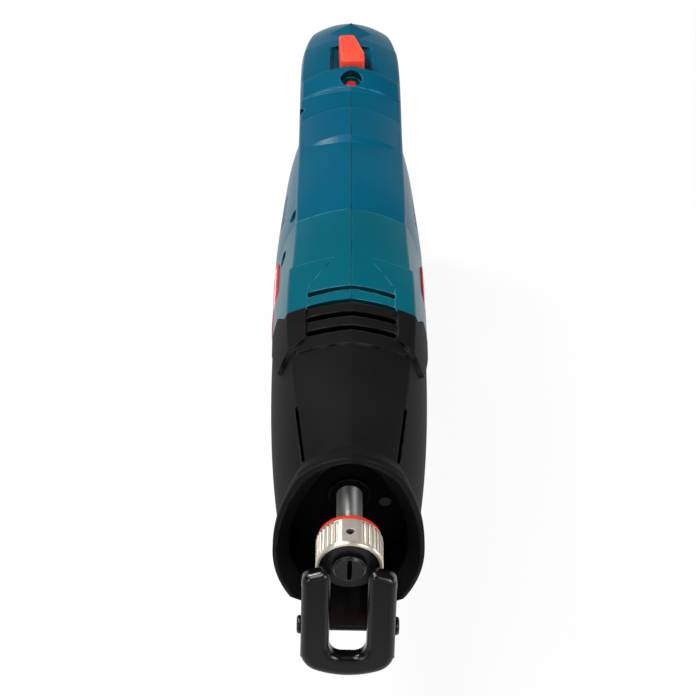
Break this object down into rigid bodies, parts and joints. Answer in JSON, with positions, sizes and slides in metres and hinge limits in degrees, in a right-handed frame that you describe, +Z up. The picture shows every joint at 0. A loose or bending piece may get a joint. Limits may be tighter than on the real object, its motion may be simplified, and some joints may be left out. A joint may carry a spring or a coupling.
{
  "type": "cordless reciprocating saw",
  "caption": "Hand-held saw with a D-handle, slide-on battery, quick-release blade chuck in a flared boot and a pivoting U-shaped shoe, driven by a geared motor and wobble ring.",
  "frame": {"origin": "middle of the battery's flat base", "axes": "+Z up from the battery's base, -Y forward along the plunger to the blade, +X to the right in a view from the front"},
  "size_m": [0.0824, 0.4671, 0.2114],
  "materials": {
    "blue_plastic": "fine texture",
    "black_rubber": "satin",
    "cast_alloy": "as cast",
    "steel": "ground",
    "black_steel": "semi-gloss black",
    "nickel": "nickel plated",
    "red_plastic": "gloss",
    "bronze": "bright",
    "copper": "varnished",
    "dark_iron": "dark",
    "black_plastic": "fine texture",
    "carbon": "dull",
    "cell_sleeve": "shrink sleeve",
    "red_lens": "clear red",
    "clear_lens": "clear",
    "badge": "printed"
  },
  "bodies": {
    "housing": {"rear_housing_left": "blue_plastic", "rear_housing_right": "blue_plastic", "handle_left": "blue_plastic", "handle_right": "blue_plastic", "front_housing_left": "blue_plastic", "front_housing_right": "blue_plastic", "front_boot": "black_rubber", "grip_pad": "black_rubber", "plunger_seal": "black_rubber", "gear_case": "cast_alloy", "bearing_plate": "cast_alloy", "wobble_front_bearing": "steel", "wobble_rear_bearing": "steel", "motor_front_bearing": "steel", "motor_rear_bearing": "steel", "gear_case_screws": "steel", "housing_screws": "steel", "bracket_clamp_screw": "steel", "trigger_spring": "steel", "motor_can": "steel", "front_bush": "bronze", "rear_bush": "bronze", "terminal_blades": "bronze", "field_magnets": "dark_iron", "motor_end_cap": "black_plastic", "brush_holders": "black_plastic", "control_module": "black_plastic", "switch_module": "black_plastic", "terminal_block": "black_plastic", "carbon_brushes": "carbon", "status_lens": "red_lens", "work_light": "clear_lens", "side_badges": "badge"},
    "armature": {"armature_shaft": "steel", "armature_core": "dark_iron", "armature_windings": "copper", "commutator": "copper", "cooling_fan": "black_plastic", "motor_pinion": "steel"},
    "wobble_shaft": {"wobble_shaft": "steel", "drive_gear": "steel"},
    "wobble_ring": {"wobble_ring": "steel"},
    "plunger": {"plunger": "steel", "chuck_core": "black_steel", "chuck_retainer": "black_steel"},
    "sleeve": {"chuck_sleeve": "nickel", "chuck_ring": "red_plastic"},
    "lock_pin": {"blade_lock_pin": "steel"},
    "bracket": {"shoe_bracket": "black_steel"},
    "shoe": {"shoe": "black_steel", "shoe_rivets": "black_steel"},
    "trigger": {"trigger": "black_plastic"},
    "lock_button": {"lock_button": "black_plastic"},
    "selector": {"selector_lever": "red_plastic"},
    "battery": {"battery_case": "black_plastic", "battery_base": "black_plastic", "battery_cells": "cell_sleeve", "battery_contacts": "bronze"},
    "battery_button_left": {"battery_button_left": "red_plastic"},
    "battery_button_right": {"battery_button_right": "red_plastic"}
  },
  "joints": [
    {"name": "armature_spin", "type": "hinge", "parent": "housing", "child": "armature", "pos_m": [0, -0.173, 0.1436], "axis": [0, 1, 0], "continuous": true},
    {"name": "wobble_shaft_spin", "type": "hinge", "parent": "housing", "child": "wobble_shaft", "pos_m": [0, -0.238, 0.1166], "axis": [0, 1, 0], "continuous": true},
    {"name": "plunger_slide", "type": "slide", "parent": "housing", "child": "plunger", "axis": [0, 1, 0], "range_m": [0, 0.028]},
    {"name": "wobble_swing", "type": "hinge", "parent": "housing", "child": "wobble_ring", "pos_m": [0, -0.238, 0.1166], "axis": [-1, 0, 0], "range_deg": [0, 41.02]},
    {"name": "sleeve_turn", "type": "hinge", "parent": "plunger", "child": "sleeve", "pos_m": [0, -0.372, 0.1566], "axis": [0, 1, 0], "range_deg": [0, 70], "stiffness_Nm_per_rad": 0.2, "springref_deg": -11.46},
    {"name": "lock_pin_slide", "type": "slide", "parent": "plunger", "child": "lock_pin", "axis": [1, 0, 0], "range_m": [0, 0.0012]},
    {"name": "bracket_slide", "type": "slide", "parent": "housing", "child": "bracket", "axis": [0, -1, 0], "range_m": [0, 0.018]},
    {"name": "shoe_pivot", "type": "hinge", "parent": "bracket", "child": "shoe", "pos_m": [0, -0.38, 0.1266], "axis": [1, 0, 0], "range_deg": [-2, 26]},
    {"name": "trigger_pull", "type": "slide", "parent": "housing", "child": "trigger", "axis": [0, 1, 0], "range_m": [0, 0.007], "stiffness_N_per_m": 1500, "springref_m": -0.003},
    {"name": "lock_button_slide", "type": "slide", "parent": "housing", "child": "lock_button", "axis": [1, 0, 0], "range_m": [0, 0.004], "stiffness_N_per_m": 800, "springref_m": -0.002},
    {"name": "selector_turn", "type": "hinge", "parent": "housing", "child": "selector", "pos_m": [0, -0.0073, 0.1968], "axis": [0, 0, -1], "range_deg": [0, 16]},
    {"name": "battery_slide", "type": "slide", "parent": "housing", "child": "battery", "axis": [0, 1, 0], "range_m": [0, 0.135]},
    {"name": "battery_button_left_push", "type": "slide", "parent": "battery", "child": "battery_button_left", "axis": [1, 0, 0], "range_m": [0, 0.003], "stiffness_N_per_m": 800, "springref_m": -0.002},
    {"name": "battery_button_right_push", "type": "slide", "parent": "battery", "child": "battery_button_right", "axis": [-1, 0, 0], "range_m": [0, 0.003], "stiffness_N_per_m": 800, "springref_m": -0.002}
  ],
  "couplings": [
    {"joint": "wobble_shaft_spin", "follows": "armature_spin", "ratio": -0.28571},
    {"joint": "wobble_swing", "follows": "plunger_slide", "rad_per_m": 25.541},
    {"joint": "lock_pin_slide", "follows": "sleeve_turn", "m_per_rad": 0.0009822}
  ]
}
